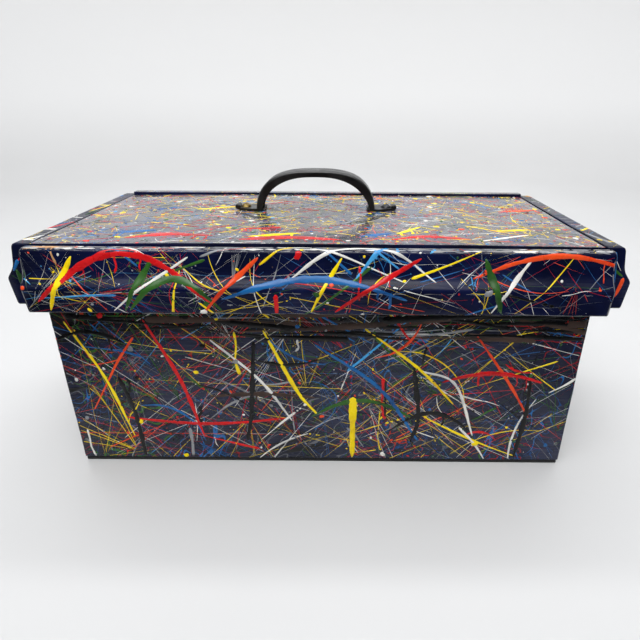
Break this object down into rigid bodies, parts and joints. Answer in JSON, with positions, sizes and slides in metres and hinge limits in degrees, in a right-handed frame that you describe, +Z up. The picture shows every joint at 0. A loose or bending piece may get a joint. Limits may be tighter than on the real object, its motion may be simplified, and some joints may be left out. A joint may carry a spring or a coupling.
{
  "type": "art supply box",
  "caption": "Rectangular wooden storage box with a deep moulded cap-like lid hinged at the back and an arched strap handle on top, splatter painted.",
  "frame": {"origin": "middle of the footprint on the surface the box stands on", "axes": "+X to the right of a person facing the front, the front faces -Y, +Z up"},
  "size_m": [0.4274, 0.215, 0.2156],
  "materials": {
    "painted_wood": "dark navy gloss enamel with many-coloured dripped and flung paint",
    "base_board": "dark painted hardboard",
    "bare_wood": "bare pine, aged",
    "black_enamel": "black enamelled pressed steel, worn",
    "brass": "dull brass",
    "dark_steel": "painted-over steel bolt head",
    "hinge_brass": "tarnished brass plate",
    "steel": "zinc plated steel"
  },
  "bodies": {
    "box": {"back_board_nails": "steel", "base_panel": "base_board", "base_panel_nails": "steel", "body_back_board": "painted_wood", "body_front_board": "painted_wood", "body_left_board": "painted_wood", "body_right_board": "painted_wood", "corner_block_back_left": "bare_wood", "corner_block_back_right": "bare_wood", "corner_block_front_left": "bare_wood", "corner_block_front_right": "bare_wood", "front_board_nails": "steel", "hinge_body_screws": "steel", "hinge_left_body_leaf": "hinge_brass", "hinge_left_pin": "steel", "hinge_right_body_leaf": "hinge_brass", "hinge_right_pin": "steel"},
    "lid": {"handle_bolt_left": "brass", "handle_bolt_right": "dark_steel", "handle_nuts": "steel", "handle_strap": "black_enamel", "handle_washers": "steel", "hinge_left_lid_leaf": "hinge_brass", "hinge_lid_screws": "steel", "hinge_right_lid_leaf": "hinge_brass", "lid_back_cleat": "bare_wood", "lid_back_rail": "painted_wood", "lid_front_liner": "bare_wood", "lid_front_rail": "painted_wood", "lid_left_liner": "bare_wood", "lid_left_rail": "painted_wood", "lid_moulding_pins": "steel", "lid_panel_nails": "steel", "lid_right_liner": "bare_wood", "lid_right_rail": "painted_wood", "lid_top_panel": "painted_wood"}
  },
  "joints": [
    {"name": "lid_hinge", "type": "hinge", "parent": "box", "child": "lid", "pos_m": [0, 0.10497, 0.13705], "axis": [-1, 0, 0], "range_deg": [0, 180]}
  ]
}
